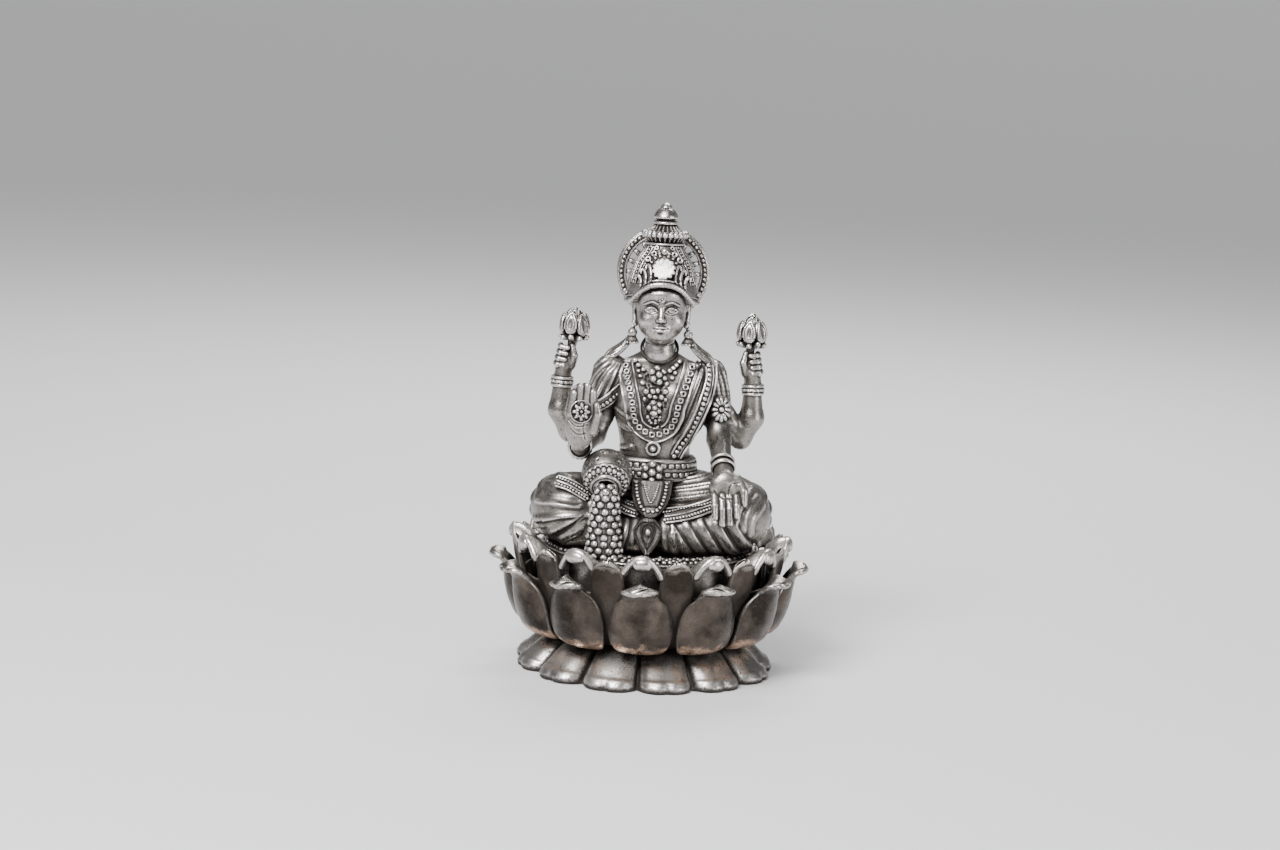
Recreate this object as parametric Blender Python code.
"""Seated four-armed deity statuette on a double lotus base, as an assembly of silver castings.

Run with: blender --background --python part.py
Lengths below are millimetres and are scaled to metres when a mesh is made. +Z is up, the figure
faces -Y, and the origin is the middle of the footprint on the surface that the statuette stands on.
"right" and "left" are the figure's own, so its right hand is on the -X side.
"""

import math

import bpy
from mathutils import Matrix, Vector

MM = 0.001
GAP = 0.28  # solder gap kept between touching castings

# Driving dimensions
HEIGHT = 76.0
POD_TOP = 20.4  # the seat that the figure rests on
POD_RADIUS = 18.2
SKIRT_RADIUS = 21.3
SKIRT_LOBES = 13
SKIRT_TOP = 5.6
SKIRT_PHASE = 10.5  # degrees, where the first skirt petal points
LOTUS_PETALS = 12
LOTUS_PHASE = -2.7
OUTER_TIP_RADIUS = 26.5
OUTER_TIP_Z = 17.8
INNER_TIP_RADIUS = 25.4
INNER_TIP_Z = 19.0
INNER_CREST_Z = 21.9
PLATE_RADIUS = 13.6
PLATE_THICKNESS = 1.1
CROWN_TOP_Z = 69.3
HALO_CENTRE = Vector((0.0, 4.6, 64.3))
HALO_RADIUS = 7.7
HALO_HOLES = 16

ANTIQUE_SILVER = ("antique_silver", (0.62, 0.59, 0.56), 0.38)
DARK_SILVER = ("dark_silver", (0.42, 0.38, 0.35), 0.42)
BRIGHT_SILVER = ("bright_silver", (0.78, 0.76, 0.73), 0.3)


# ---------------------------------------------------------------- helpers


def clear_scene():
    for obj in list(bpy.data.objects):
        bpy.data.objects.remove(obj)


def material(finish):
    name, colour, roughness = finish
    made = bpy.data.materials.get(name)
    if made is None:
        made = bpy.data.materials.new(name)
        made.use_nodes = True
        shader = made.node_tree.nodes["Principled BSDF"]
        shader.inputs["Base Color"].default_value = (*colour, 1.0)
        shader.inputs["Metallic"].default_value = 1.0
        shader.inputs["Roughness"].default_value = roughness
    return made


def mesh_from(name, points, faces):
    mesh = bpy.data.meshes.new(name)
    mesh.from_pydata([Vector(p) * MM for p in points], [], faces)
    mesh.shade_smooth()
    mesh.set_sharp_from_angle(angle=math.radians(40))
    return mesh


def place(name, mesh, finish):
    obj = bpy.data.objects.new(name, mesh)
    bpy.context.scene.collection.objects.link(obj)
    obj.data.materials.clear()
    obj.data.materials.append(material(finish))
    return obj


def loft_data(rings):
    """Points and faces of a closed solid through equal rings, with a flat cap at each end."""
    count = len(rings[0])
    points = [p for ring in rings for p in ring]
    faces = [tuple(reversed(range(count)))]
    for i in range(len(rings) - 1):
        low, high = i * count, (i + 1) * count
        for j in range(count):
            k = (j + 1) % count
            faces.append((low + j, low + k, high + k, high + j))
    top = (len(rings) - 1) * count
    faces.append(tuple(range(top, top + count)))
    return points, faces


def loft(name, rings, finish):
    points, faces = loft_data(rings)
    return place(name, mesh_from(name, points, faces), finish)


def ellipse(centre, side, up, rx, ry, count=16, power=2.0):
    """A ring of points, counter-clockwise seen from side x up. A power over 2 makes it squarer."""
    ring = []
    for i in range(count):
        a = 2 * math.pi * i / count
        c, s = math.cos(a), math.sin(a)
        cx = math.copysign(abs(c) ** (2 / power), c)
        sy = math.copysign(abs(s) ** (2 / power), s)
        ring.append(centre + side * (rx * cx) + up * (ry * sy))
    return ring


def limb(name, stations, finish, count=12):
    """A solid along (x, y, z, half width, half thickness) stations. The width stays near the X axis."""
    centres = [Vector(s[:3]) for s in stations]
    rings = []
    for i, (centre, station) in enumerate(zip(centres, stations)):
        ahead = centres[min(i + 1, len(centres) - 1)] - centres[max(i - 1, 0)]
        along = ahead.normalized()
        side = (Vector((1, 0, 0)) - along * along.x).normalized()
        up = along.cross(side)
        rings.append(ellipse(centre, side, up, station[3], station[4], count))
    return loft(name, rings, finish)


def turned_mesh(name, profile, count=24):
    """A solid of revolution about Z. The profile is (radius, z) from the bottom to the top."""
    axis_x, axis_y = Vector((1, 0, 0)), Vector((0, 1, 0))
    rings = [ellipse(Vector((0, 0, z)), axis_x, axis_y, r, r, count) for r, z in profile]
    points, faces = loft_data(rings)
    return mesh_from(name, points, faces)


def ring_mesh(name, inner, outer, width, count=20):
    """A plain ring about Z with a faceted, rounded section."""
    middle = (inner + outer) / 2
    section = [
        (inner, -width / 2),
        (middle, -width * 0.58),
        (outer, -width / 3),
        (outer, width / 3),
        (middle, width * 0.58),
        (inner, width / 2),
    ]
    points, faces = [], []
    for i in range(count):
        a = 2 * math.pi * i / count
        points += [(r * math.cos(a), r * math.sin(a), z) for r, z in section]
    sides = len(section)
    for i in range(count):
        here, there = i * sides, (i + 1) % count * sides
        for j in range(sides):
            k = (j + 1) % sides
            faces.append((here + j, there + j, there + k, here + k))
    return mesh_from(name, points, faces)


def aim(obj, position, axis):
    """Puts obj at a position in millimetres with its own Z along axis."""
    turn = Vector((0, 0, 1)).rotation_difference(Vector(axis).normalized())
    obj.matrix_world = Matrix.Translation(Vector(position) * MM) @ turn.to_matrix().to_4x4()
    return obj


def swollen_copy(obj, gap):
    """A hidden cutter: obj as it stands, with its surface moved out by gap."""
    graph = bpy.context.evaluated_depsgraph_get()
    mesh = bpy.data.meshes.new_from_object(obj.evaluated_get(graph))
    mesh.transform(obj.matrix_world)
    normals = [v.normal.copy() for v in mesh.vertices]
    for vertex, normal in zip(mesh.vertices, normals):
        vertex.co += normal * gap * MM
    cutter = bpy.data.objects.new("cutter_" + obj.name, mesh)
    bpy.context.scene.collection.objects.link(cutter)
    cutter.hide_render = True
    cutter.display_type = "WIRE"
    return cutter


def fit_to(piece, *neighbours):
    """Cuts each neighbour out of piece, with the solder gap all round it."""
    for neighbour in neighbours:
        bpy.context.view_layer.update()
        cut = piece.modifiers.new("fit_" + neighbour.name, "BOOLEAN")
        cut.operation = "DIFFERENCE"
        cut.solver = "EXACT"
        cut.object = swollen_copy(neighbour, GAP)
    return piece


def blend(points, t):
    """The value at t, 0 to 1, on a smooth curve through evenly spaced points (Catmull-Rom)."""
    last = len(points) - 1
    at = min(max(t, 0.0), 1.0) * last
    i = min(int(at), last - 1)
    f = at - i
    a, b = points[max(i - 1, 0)], points[i]
    c, d = points[i + 1], points[min(i + 2, last)]
    return 0.5 * (
        2 * b + (c - a) * f + (2 * a - 5 * b + 4 * c - d) * f**2 + (3 * b - a - 3 * c + d) * f**3
    )


# ---------------------------------------------------------------- lotus base


def base_plate():
    """The flat disc that closes the underside."""
    profile = [(PLATE_RADIUS, 0.0), (PLATE_RADIUS, PLATE_THICKNESS)]
    return place("base_plate", turned_mesh("base_plate", profile, 48), DARK_SILVER)


def base_skirt():
    """The foot: a ring of down-turned petals with a recess below for the plate."""
    per_lobe = 6
    count = SKIRT_LOBES * per_lobe
    recess = PLATE_RADIUS + GAP
    recess_top = PLATE_THICKNESS + GAP
    rings = [[] for _ in range(8)]
    for i in range(count):
        a = math.radians(SKIRT_PHASE) + 2 * math.pi * i / count
        lobe = abs(math.cos(SKIRT_LOBES * (a - math.radians(SKIRT_PHASE)) / 2))
        tip = SKIRT_RADIUS - 2.4 * (1 - lobe**0.5)
        section = [
            (recess * 0.5, recess_top),
            (recess, recess_top),
            (recess, 0.0),
            (tip - 0.5, 0.0),
            (tip, 0.8),
            (18.2, 2.4 + 1.1 * lobe),
            (16.0, 4.2 + 0.9 * lobe),
            (14.0, SKIRT_TOP),
        ]
        for ring, (r, z) in zip(rings, section):
            ring.append(Vector((r * math.sin(a), -r * math.cos(a), z)))
    return loft("base_skirt", rings, ANTIQUE_SILVER)


def lotus_cup():
    """The bowl that carries the petals. Twelve upright petals stand on its rim."""
    per_lobe = 6
    count = LOTUS_PETALS * per_lobe
    rings = [[] for _ in range(12)]
    for i in range(count):
        a = math.radians(LOTUS_PHASE) + 2 * math.pi * i / count
        lobe = abs(math.sin(LOTUS_PETALS * (a - math.radians(LOTUS_PHASE)) / 2)) ** 0.7
        rim = 14.6 + 6.8 * lobe
        bulge = 0.7 * lobe
        section = [
            (12.6, SKIRT_TOP + GAP),
            (16.6, 8.0),
            (19.2, 10.4),
            (21.1 + 0.4 * lobe, 12.9),
            (21.6 + bulge, 12.9 + 0.55 * (rim - 12.9)),
            (21.6 + bulge, rim - 0.5),
            (20.9 + bulge, rim),
            (20.5 + bulge * 0.8, 13.8 + 0.6 * (rim - 13.8)),
            (20.1 + 0.2 * lobe, 13.8),
            (19.0, 11.4),
            (15.6, 9.4),
            (11.0, 8.3),
        ]
        for ring, (r, z) in zip(rings, section):
            ring.append(Vector((r * math.sin(a), -r * math.cos(a), z)))
    return loft("lotus_cup", rings, DARK_SILVER)


def seed_pod():
    """The drum inside the flower, whose top is the seat."""
    profile = [
        (10.4, 8.6),
        (14.4, 9.8),
        (17.2, 12.4),
        (POD_RADIUS - 0.3, 18.6),
        (POD_RADIUS, 19.6),
        (POD_RADIUS - 0.7, POD_TOP),
    ]
    return place("seed_pod", turned_mesh("seed_pod", profile, 40), ANTIQUE_SILVER)


def petal_mesh(name, radii, heights, half_angles, thickness, cupping):
    """A petal shell that points to -Y. Each list runs from its foot to its tip."""
    across, along = 5, 8
    shells = ([], [])
    for j in range(along):
        t = j / (along - 1)
        r, z = blend(radii, t), blend(heights, t)
        ahead, behind = min(t + 0.02, 1.0), max(t - 0.02, 0.0)
        slope = Vector(
            (blend(radii, ahead) - blend(radii, behind), blend(heights, ahead) - blend(heights, behind))
        ).normalized()
        half = math.radians(max(blend(half_angles, t), 0.6))
        for i in range(across):
            u = 2 * i / (across - 1) - 1
            a = u * half
            fold = -cupping * u * u
            for shell, depth in zip(shells, (0.0, thickness)):
                rr = r + fold - depth * slope.y
                zz = z + depth * slope.x
                shell.append(Vector((rr * math.sin(a), -rr * math.cos(a), zz)))
    outside, inside = shells
    points = outside + inside
    offset = len(outside)
    faces = []
    for j in range(along - 1):
        for i in range(across - 1):
            a, b = j * across + i, j * across + i + 1
            c, d = b + across, a + across
            faces.append((a, b, c, d))
            faces.append((offset + d, offset + c, offset + b, offset + a))
    last = (along - 1) * across
    border = list(range(across))
    border += [j * across + across - 1 for j in range(1, along)]
    border += [last + i for i in reversed(range(across - 1))]
    border += [j * across for j in reversed(range(1, along - 1))]
    for here, there in zip(border, border[1:] + border[:1]):
        faces.append((here, offset + here, offset + there, there))
    return mesh_from(name, points, faces)


def petal_row(stem, mesh, finish):
    """Twelve petals about the axis that share one mesh. The first is the front one."""
    row = []
    for i in range(LOTUS_PETALS):
        petal = place(f"{stem}_{i + 1:02d}", mesh, finish)
        petal.rotation_euler.z = math.radians(LOTUS_PHASE) + 2 * math.pi * i / LOTUS_PETALS
        row.append(petal)
    return row


def outer_petals():
    """Broad cupped petals whose tips turn out."""
    radii = [16.4, 20.4, 22.6, 23.6, 24.4, OUTER_TIP_RADIUS]
    heights = [6.2, 7.6, 10.4, 13.6, 16.4, OUTER_TIP_Z]
    half_angles = [8.5, 13.6, 14.3, 13.2, 9.5, 3.0]
    mesh = petal_mesh("outer_petal", radii, heights, half_angles, 0.9, 0.5)
    return petal_row("outer_petal", mesh, DARK_SILVER)


def inner_petals():
    """Hooded petals inside the cup. They bend out over its rim between the upright petals."""
    radii = [18.6, 18.7, 18.9, 20.3, 23.4, INNER_TIP_RADIUS]
    heights = [13.4, 16.2, 19.2, INNER_CREST_Z - 0.3, INNER_CREST_Z - 0.4, INNER_TIP_Z]
    half_angles = [7.0, 11.5, 13.6, 12.0, 7.6, 2.2]
    mesh = petal_mesh("inner_petal", radii, heights, half_angles, 0.6, 0.0)
    return petal_row("inner_petal", mesh, DARK_SILVER)


# ---------------------------------------------------------------- the figure

# Torso sections: z, half width, half depth, y of the middle
TORSO = [
    (28.4, 6.6, 4.6, -1.2),
    (31.0, 6.6, 4.8, -1.2),
    (33.4, 6.2, 4.6, -1.1),
    (36.0, 5.8, 4.2, -0.9),
    (39.0, 6.2, 4.4, -0.8),
    (42.4, 7.2, 5.0, -0.8),
    (45.4, 7.9, 5.0, -0.6),
    (48.0, 8.3, 4.3, -0.2),
    (49.8, 6.8, 3.5, 0.1),
    (51.0, 4.4, 2.9, 0.1),
    (51.9, 2.9, 2.6, -0.2),
]
TORSO_POWER = 2.3


def torso_section(z):
    """Half width, half depth and middle y of the torso at height z."""
    for low, high in zip(TORSO, TORSO[1:]):
        if z <= high[0]:
            f = max(0.0, (z - low[0]) / (high[0] - low[0]))
            return [a + (b - a) * f for a, b in zip(low[1:], high[1:])]
    return list(TORSO[-1][1:])


def torso_front(x, z, out):
    """A point on the front of the torso at (x, z), moved forward by out."""
    rx, ry, middle = torso_section(z)
    share = min(abs(x) / rx, 0.97)
    depth = ry * (1 - share**TORSO_POWER) ** (1 / TORSO_POWER)
    return Vector((x, middle - depth - out, z))


def torso():
    rings = []
    for z, rx, ry, middle in TORSO:
        side, back = Vector((1, 0, 0)), Vector((0, 1, 0))
        rings.append(ellipse(Vector((0, middle, z)), side, back, rx, ry, 24, TORSO_POWER))
    return loft("torso", rings, ANTIQUE_SILVER)


def seated_legs():
    """Crossed legs under cloth, lofted from knee to knee and flat where they rest on the pod."""
    stations = [
        (-19.3, -5.4, 26.6, 1.4, 1.6),
        (-18.2, -5.6, 26.5, 4.2, 4.2),
        (-15.6, -5.6, 26.3, 6.3, 5.5),
        (-12.0, -5.2, 26.0, 7.8, 5.4),
        (-7.4, -4.6, 25.2, 8.8, 5.1),
        (0.0, -4.0, 24.8, 9.0, 4.9),
        (7.4, -4.6, 25.4, 8.8, 5.3),
        (12.0, -5.2, 26.2, 7.9, 5.8),
        (15.6, -5.6, 26.6, 6.4, 6.0),
        (18.2, -5.6, 26.8, 4.2, 4.6),
        (19.3, -5.4, 27.0, 1.4, 1.8),
    ]
    rings = []
    for x, y, z, ry, rz in stations:
        ring = ellipse(Vector((x, y, z)), Vector((0, 1, 0)), Vector((0, 0, 1)), ry, rz, 18, 2.2)
        for point in ring:
            point.z = max(point.z, POD_TOP + GAP)
        rings.append(ring)
    return loft("seated_legs", rings, ANTIQUE_SILVER)


def head():
    """Neck, jaw and skull up to the line that the crown covers."""
    sections = [
        (52.2, 2.3, 2.3, -0.8),
        (53.7, 2.3, 2.4, -1.2),
        (54.3, 2.5, 3.3, -2.4),
        (55.4, 3.3, 4.0, -2.4),
        (57.2, 4.05, 4.5, -2.1),
        (59.4, 4.3, 4.7, -1.9),
        (61.4, 4.2, 4.6, -1.8),
        (63.2, 3.3, 3.7, -1.7),
        (64.2, 1.5, 1.8, -1.6),
    ]
    rings = []
    for z, rx, ry, middle in sections:
        side, back = Vector((1, 0, 0)), Vector((0, 1, 0))
        rings.append(ellipse(Vector((0, middle, z)), side, back, rx, ry, 20))
    return loft("head", rings, BRIGHT_SILVER)


def crown():
    """A domed cap with a brim that rises over the forehead, cut flat behind for the halo."""
    levels = [(0.0, 6.0), (0.09, 6.1), (0.25, 5.5), (0.5, 4.5), (0.78, 3.3), (1.0, 2.75)]
    back_y = HALO_CENTRE.y - 0.5 - GAP
    rings = []
    for share, radius in levels:
        ring = []
        for i in range(24):
            a = 2 * math.pi * i / 24
            x, y = radius * math.cos(a), radius * math.sin(a) - 1.4 * (1 - share) - 0.2
            brim = 60.4 - 0.48 * (y + 1.2)
            ring.append(Vector((x, min(y, back_y), brim + (CROWN_TOP_Z - brim) * share)))
        rings.append(ring)
    return loft("crown", rings, BRIGHT_SILVER)


def crown_finial():
    """The turned top: fluted disc, cone, ring, dome and knob."""
    base = CROWN_TOP_Z + GAP
    profile = [
        (2.6, base),
        (2.9, 70.2),
        (3.7, 71.0),
        (3.6, 71.5),
        (2.2, 72.6),
        (1.6, 72.7),
        (2.0, 73.0),
        (1.5, 73.35),
        (1.9, 73.9),
        (1.7, 74.6),
        (0.8, 75.3),
        (0.75, 75.6),
        (0.25, HEIGHT),
    ]
    return place("crown_finial", turned_mesh("crown_finial", profile, 20), BRIGHT_SILVER)


def halo():
    """A flat pierced disc that stands behind the head, with a thick rim."""
    count = HALO_HOLES * 4
    thickness = 1.0
    levels = [
        (0.0, HALO_RADIUS - 0.3),
        (0.25, HALO_RADIUS),
        (0.75, HALO_RADIUS),
        (1.0, HALO_RADIUS - 0.3),
    ]
    rings = []
    for share, radius in levels:
        middle = HALO_CENTRE + Vector((0, thickness * (0.5 - share), 0))
        rings.append(ellipse(middle, Vector((1, 0, 0)), Vector((0, 0, 1)), radius, radius, count))
    disc = loft("halo", rings, ANTIQUE_SILVER)
    for i in range(HALO_HOLES):
        a = 2 * math.pi * (i + 0.5) / HALO_HOLES
        outward = Vector((math.cos(a), 0, math.sin(a)))
        across = Vector((math.sin(a), 0, -math.cos(a)))
        corners = [outward * 4.9, outward * 6.2 + across * 0.75, outward * 6.2 - across * 0.75]
        ends = [
            [HALO_CENTRE + c + Vector((0, y, 0)) for c in corners] for y in (2.0, -2.0)
        ]
        points, faces = loft_data(ends)
        hole = bpy.data.objects.new(f"cutter_halo_{i}", mesh_from("hole", points, faces))
        bpy.context.scene.collection.objects.link(hole)
        hole.hide_render = True
        hole.display_type = "WIRE"
        cut = disc.modifiers.new(f"hole_{i}", "BOOLEAN")
        cut.operation = "DIFFERENCE"
        cut.solver = "EXACT"
        cut.object = hole
    return disc


# ---------------------------------------------------------------- arms and what they hold


def join(piece, *others):
    """Makes one body of piece and others, which become hidden helpers."""
    for other in others:
        other.hide_render = True
        other.display_type = "WIRE"
        weld = piece.modifiers.new("join_" + other.name, "BOOLEAN")
        weld.operation = "UNION"
        weld.solver = "EXACT"
        weld.object = other
    return piece


def finger(name, root, tip, width):
    """One bent finger from root to tip, with a knuckle and a rounded end."""
    root, tip = Vector(root), Vector(tip)
    along = tip - root
    stations = []
    for share, size in ((0.0, 1.0), (0.45, 1.0), (0.85, 0.86), (1.0, 0.42)):
        point = root + along * share + Vector((0, -0.25 * math.sin(math.pi * share), 0))
        stations.append((*point, width * size, width * 0.92 * size))
    return limb(name, stations, ANTIQUE_SILVER, 8)


def blessing_arm():
    """Front right arm: sleeve, elbow and a forearm that comes forward to a raised open hand."""
    stations = [
        (-7.4, 0.2, 48.6, 1.6, 2.0),
        (-9.0, 0.0, 46.6, 2.5, 2.6),
        (-10.0, -0.4, 43.4, 2.4, 2.5),
        (-10.8, -0.9, 40.2, 1.9, 2.0),
        (-11.3, -2.2, 37.6, 1.8, 1.9),
        (-11.7, -5.2, 36.8, 1.7, 1.7),
        (-12.0, -8.6, 37.0, 1.4, 1.4),
        (-12.0, -10.6, 37.6, 1.5, 1.3),
        (-12.0, -11.6, 39.4, 2.3, 1.1),
        (-11.9, -12.0, 41.8, 2.6, 1.0),
        (-11.8, -12.1, 43.6, 2.5, 0.85),
        (-11.8, -12.15, 44.4, 2.0, 0.5),
    ]
    arm = limb("blessing_arm", stations, ANTIQUE_SILVER)
    tips = [(-13.75, 46.8), (-12.5, 48.0), (-11.2, 48.3), (-9.95, 47.2)]
    digits = []
    for i, (x, z) in enumerate(tips):
        root = (-11.8 + (i - 1.5) * 1.2, -12.05, 42.4)
        digits.append(finger(f"blessing_finger_{i + 1}", root, (x, -12.25, z), 0.6))
    digits.append(finger("blessing_thumb", (-10.4, -11.9, 40.0), (-8.9, -12.3, 43.4), 0.68))
    return join(arm, *digits)


def giving_arm():
    """Front left arm: sleeve, elbow and a forearm that comes down to an open hand, fingers down."""
    stations = [
        (7.4, 0.2, 48.6, 1.6, 2.0),
        (9.1, 0.0, 46.6, 2.5, 2.6),
        (10.2, -0.6, 43.4, 2.5, 2.5),
        (10.7, -1.4, 40.6, 2.1, 2.1),
        (10.8, -3.6, 38.4, 1.8, 1.8),
        (10.9, -6.6, 36.8, 1.6, 1.6),
        (11.0, -9.4, 35.4, 1.35, 1.35),
        (11.2, -11.2, 34.0, 1.9, 1.2),
        (11.5, -12.5, 32.2, 2.5, 1.0),
        (11.7, -13.2, 30.8, 2.4, 0.85),
        (11.75, -13.5, 30.2, 1.9, 0.5),
    ]
    arm = limb("giving_arm", stations, ANTIQUE_SILVER)
    tips = [(9.7, 27.3), (11.0, 26.4), (12.4, 26.3), (13.7, 27.2)]
    digits = []
    for i, (x, z) in enumerate(tips):
        root = (11.6 + (i - 1.5) * 1.15, -12.9, 31.6)
        digits.append(finger(f"giving_finger_{i + 1}", root, (x, -14.9, z), 0.6))
    digits.append(finger("giving_thumb", (12.9, -12.0, 33.4), (14.7, -13.4, 30.4), 0.66))
    return join(arm, *digits)


def rear_arm(name, side):
    """A back arm, bent up at the elbow to a closed hand. side is -1 for the figure's right."""
    y = 3.0 if side < 0 else 4.0
    stations = [
        (side * 7.0, 2.2, 47.2, 1.6, 1.6),
        (side * 9.4, 2.9, 44.0, 2.1, 1.9),
        (side * 12.0, y, 40.2, 2.0, 1.9),
        (side * 14.2, y, 37.6, 1.6, 1.9),
        (side * 15.7, y, 38.6, 1.6, 1.9),
        (side * 16.0, y, 41.6, 1.8, 1.8),
        (side * 15.8, y, 44.4, 1.45, 1.45),
        (side * 15.6, y, 47.0, 1.45, 1.45),
        (side * 15.3, y, 49.4, 2.0, 1.5),
        (side * 14.9, y, 51.4, 1.9, 1.4),
        (side * 14.7, y, 52.4, 1.1, 0.9),
    ]
    return limb(name, stations, ANTIQUE_SILVER)


def bangle(name, position, axis, radius):
    ring = place(name, ring_mesh(name, radius, radius + 0.7, 1.7), BRIGHT_SILVER)
    return aim(ring, position, axis)


def lotus_bud(name, position):
    """A closed bud on a short stem, with its calyx turned out."""
    profile = [
        (0.4, -3.2),
        (0.45, -0.9),
        (2.1, -0.4),
        (2.2, 0.0),
        (1.2, 0.3),
        (2.3, 1.5),
        (2.5, 2.5),
        (2.1, 3.8),
        (1.1, 4.8),
        (0.2, 5.3),
    ]
    bud = place(name, turned_mesh(name, profile, 16), BRIGHT_SILVER)
    bud.location = Vector(position) * MM
    return bud


def armlet_rosette():
    """The sunburst on the left sleeve."""
    profile = [(2.0, -1.2), (2.1, 0.2), (1.0, 0.8), (0.4, 1.1)]
    rosette = place("armlet_rosette", turned_mesh("armlet_rosette", profile, 16), BRIGHT_SILVER)
    return aim(rosette, (10.8, -3.2, 43.0), (0.3, -1.0, 0.05))


# ---------------------------------------------------------------- jewellery


def earring(name, side):
    """A bell-shaped drop below the ear."""
    profile = [
        (0.3, 53.2),
        (1.1, 53.7),
        (1.15, 54.2),
        (0.6, 55.2),
        (0.4, 56.2),
        (0.2, 56.8),
    ]
    drop = place(name, turned_mesh(name, profile, 12), BRIGHT_SILVER)
    drop.location = Vector((side * 4.45, -1.4, 0)) * MM
    return drop


def band_on_torso(name, path, half_width, thickness, finish):
    """A strip that lies on the front of the torso along (x, z) points."""
    rings = []
    for i, (x, z) in enumerate(path):
        before, after = path[max(i - 1, 0)], path[min(i + 1, len(path) - 1)]
        along = Vector((after[0] - before[0], after[1] - before[1])).normalized()
        side = Vector((along.y, -along.x)) * half_width
        ring = []
        for share in (-1.0, 0.0, 1.0):
            ring.append(torso_front(x + side.x * share, z + side.y * share, GAP + 0.05))
        for share in (1.0, 0.0, -1.0):
            ring.append(torso_front(x + side.x * share, z + side.y * share, GAP + thickness))
        rings.append(list(reversed(ring)))
    return loft(name, rings, finish)


def garland():
    """The flat band that hangs in a long loop from both shoulders."""
    right_side = [(-5.3, 50.2), (-4.7, 48.0), (-4.0, 45.2), (-3.3, 42.6), (-2.4, 40.8), (-1.3, 39.7)]
    left_side = [(1.3, 39.7), (2.5, 41.0), (3.2, 43.0), (4.0, 45.6), (5.0, 48.2), (5.6, 50.2)]
    path = right_side + [(0.0, 39.3)] + left_side
    return band_on_torso("garland", path, 1.0, 0.75, BRIGHT_SILVER)


def sari_border():
    """The beaded edge of the cloth, from the left shoulder to the waist."""
    path = [(6.9, 48.6), (7.1, 46.0), (6.6, 43.2), (5.7, 40.6), (4.5, 38.2), (3.2, 36.4)]
    return band_on_torso("sari_border", path, 0.55, 0.7, ANTIQUE_SILVER)


def chest_pendant():
    """The cluster of rosettes and beads down the middle of the chest."""
    rows = [(50.0, 1.0), (49.4, 1.7), (48.0, 1.9), (46.4, 1.6), (44.4, 1.5), (42.6, 1.1), (41.4, 0.4)]
    rings = []
    for z, half in rows:
        back = [torso_front(half * s, z, GAP + 0.05) for s in (-1, 0, 1)]
        front = [torso_front(half * s, z, GAP + 0.9) for s in (1, 0, -1)]
        rings.append(back + front)
    return loft("chest_pendant", rings, BRIGHT_SILVER)


def choker():
    """The collar round the neck, lower in front."""
    collar = place("choker", ring_mesh("choker", 2.65, 3.8, 1.2, 24), BRIGHT_SILVER)
    return aim(collar, (0, -0.9, 52.0), (0, -0.25, 1))


def garland_pendant():
    profile = [(1.1, 0.0), (1.1, 0.6), (0.5, 1.0)]
    boss = place("garland_pendant", turned_mesh("garland_pendant", profile, 12), BRIGHT_SILVER)
    return aim(boss, torso_front(-0.2, 36.9, GAP), (0, -1, 0.05))


def waist_belt():
    """A two-row belt all round the waist."""
    bottom, top = 31.4, 35.0
    rings = []
    for i in range(28):
        a = 2 * math.pi * i / 28
        c, s = math.cos(a), math.sin(a)
        cx = math.copysign(abs(c) ** (2 / TORSO_POWER), c)
        sy = math.copysign(abs(s) ** (2 / TORSO_POWER), s)
        ring = []
        for z, out in ((bottom, 0.32), (top, 0.32), (top, 0.9), ((top + bottom) / 2, 1.15), (bottom, 1.0)):
            rx, ry, middle = torso_section(z)
            ring.append(Vector(((rx + out) * cx, middle + (ry + out) * sy, z)))
        rings.append(ring)
    points = [p for ring in rings for p in ring]
    faces = []
    sides = len(rings[0])
    for i in range(len(rings)):
        here, there = i * sides, (i + 1) % len(rings) * sides
        for j in range(sides):
            k = (j + 1) % sides
            faces.append((here + j, here + k, there + k, there + j))
    return place("waist_belt", mesh_from("waist_belt", points, faces), BRIGHT_SILVER)


def belt_rosette():
    profile = [(1.9, 0.0), (1.9, 0.5), (1.0, 0.95), (0.4, 1.05)]
    rosette = place("belt_rosette", turned_mesh("belt_rosette", profile, 14), BRIGHT_SILVER)
    front = torso_front(0.0, 33.1, 1.15 + GAP)
    return aim(rosette, (-0.2, front.y, 33.1), (0, -1, 0))


def hanging_plate(name, rows, thickness, finish):
    """A plate down the lap from (y, z, half width) rows, facing forward."""
    rings = []
    for y, z, half in rows:
        back = [Vector((half * s - 0.3, y, z)) for s in (-1, 0, 1)]
        front = [Vector((half * s - 0.3, y - thickness, z - 0.25)) for s in (1, 0, -1)]
        rings.append(back + front)
    return loft(name, rings, finish)


def apron():
    """The U-shaped ornament below the belt."""
    rows = [
        (-8.1, 31.0, 3.2),
        (-9.6, 30.0, 3.1),
        (-11.2, 28.7, 2.6),
        (-12.2, 27.4, 1.7),
        (-12.6, 26.7, 0.7),
    ]
    return hanging_plate("apron", rows, 0.8, BRIGHT_SILVER)


def leaf_pendant():
    """The pointed leaf that hangs below the apron to the seat."""
    rows = [
        (-13.1, 26.2, 1.0),
        (-13.3, 25.2, 2.1),
        (-13.5, 23.8, 2.4),
        (-13.7, 22.4, 1.6),
        (-13.8, 21.2, 0.5),
    ]
    return hanging_plate("leaf_pendant", rows, 0.8, BRIGHT_SILVER)


def coin_pot():
    """The tilted pot on the right knee, mouth forward and down."""
    profile = [
        (1.0, -4.0),
        (2.9, -3.1),
        (4.0, -1.2),
        (4.1, 0.6),
        (3.4, 2.4),
        (2.6, 3.2),
        (2.7, 3.9),
        (2.3, 4.3),
    ]
    pot = place("coin_pot", turned_mesh("coin_pot", profile, 20), ANTIQUE_SILVER)
    return aim(pot, (-7.5, -9.4, 33.0), (0, -0.86, -0.5))


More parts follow.
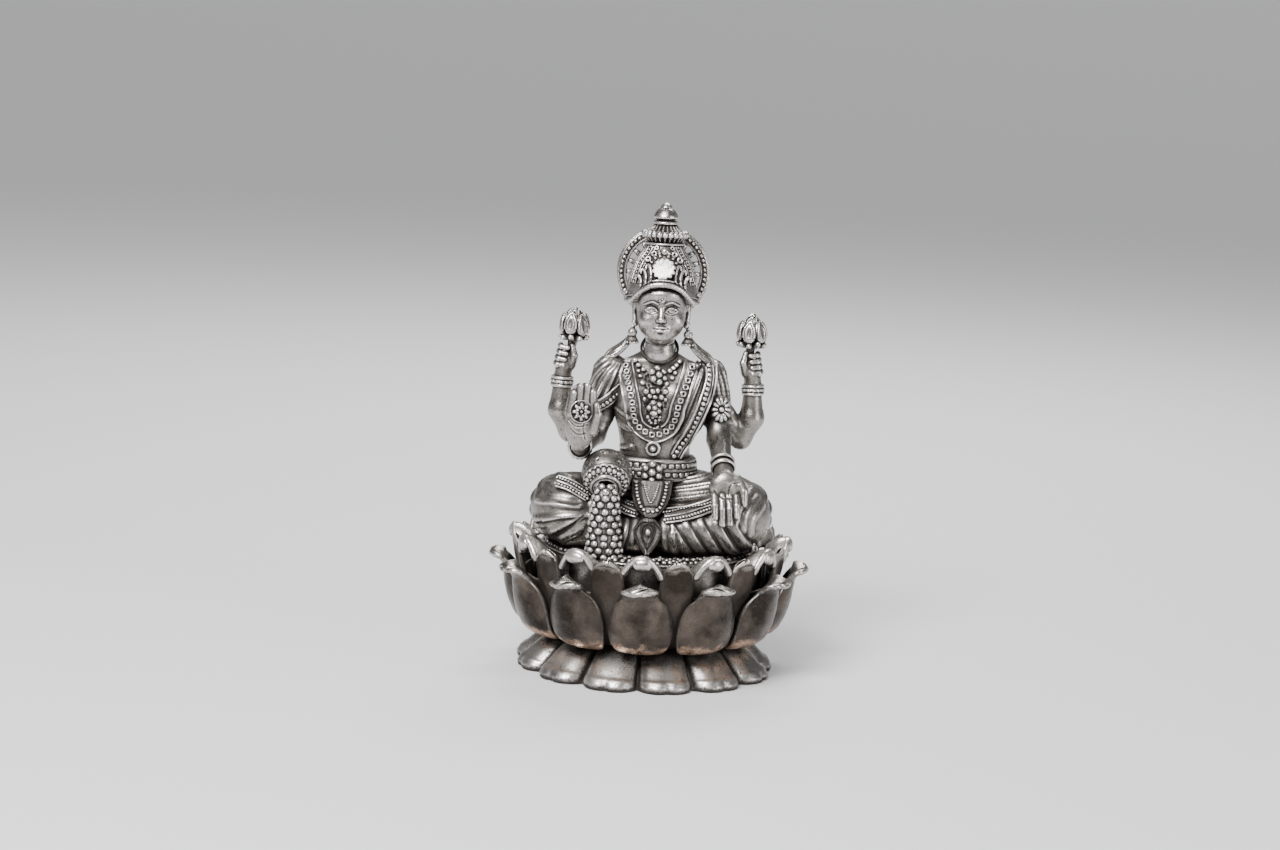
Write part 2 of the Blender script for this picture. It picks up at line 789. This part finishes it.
def coin_stream():
    """The coins that pour from the pot to the seat."""
    stations = [
        (-7.4, -13.9, 31.4, 1.0, 0.7),
        (-7.4, -14.8, 30.4, 1.6, 1.1),
        (-7.4, -15.1, 28.0, 2.1, 1.5),
        (-7.4, -15.0, 25.0, 2.5, 1.6),
        (-7.3, -14.9, 22.4, 2.8, 1.6),
        (-7.3, -14.8, POD_TOP + GAP, 2.9, 1.5),
    ]
    return limb("coin_stream", stations, BRIGHT_SILVER, 12)


# ---------------------------------------------------------------- assembly


def build_figure():
    legs = seated_legs()
    body = fit_to(torso(), legs)
    skull = head()
    fit_to(crown(), skull)
    crown_finial()
    halo()
    fit_to(earring("right_earring", -1), skull)
    fit_to(earring("left_earring", 1), skull)
    right_arm = fit_to(blessing_arm(), body)
    left_arm = fit_to(giving_arm(), body)
    wrist = bangle("blessing_bangle", (-11.97, -8.5, 37.0), (-0.05, -1.0, 0.12), 1.75)
    bangle("giving_bangle", (11.0, -9.3, 35.45), (0.05, -1.0, -0.55), 1.75)
    rear_right = fit_to(rear_arm("rear_right_arm", -1), body, right_arm)
    rear_left = fit_to(rear_arm("rear_left_arm", 1), body, left_arm)
    bangle("rear_right_bangle", (-15.7, 3.0, 45.7), (0.07, 0, 1), 1.8)
    bangle("rear_left_bangle", (15.7, 4.0, 45.7), (-0.07, 0, 1), 1.8)
    fit_to(lotus_bud("right_lotus_bud", (-14.0, 3.0, 53.5)), rear_right)
    fit_to(lotus_bud("left_lotus_bud", (15.0, 4.0, 53.5)), rear_left)
    fit_to(armlet_rosette(), left_arm)
    collar = fit_to(choker(), body, skull)
    fit_to(garland(), body)
    fit_to(sari_border(), body, left_arm)
    fit_to(chest_pendant(), collar)
    fit_to(garland_pendant(), body)
    belt = fit_to(waist_belt(), legs)
    fit_to(belt_rosette(), belt)
    front = fit_to(apron(), legs, belt, body)
    fit_to(leaf_pendant(), legs, front)
    pot = fit_to(coin_pot(), legs, belt, body, right_arm, wrist)
    fit_to(coin_stream(), legs, pot)


def main():
    clear_scene()
    base_plate()
    base_skirt()
    lotus_cup()
    seed_pod()
    outer_petals()
    inner_petals()
    build_figure()


main()
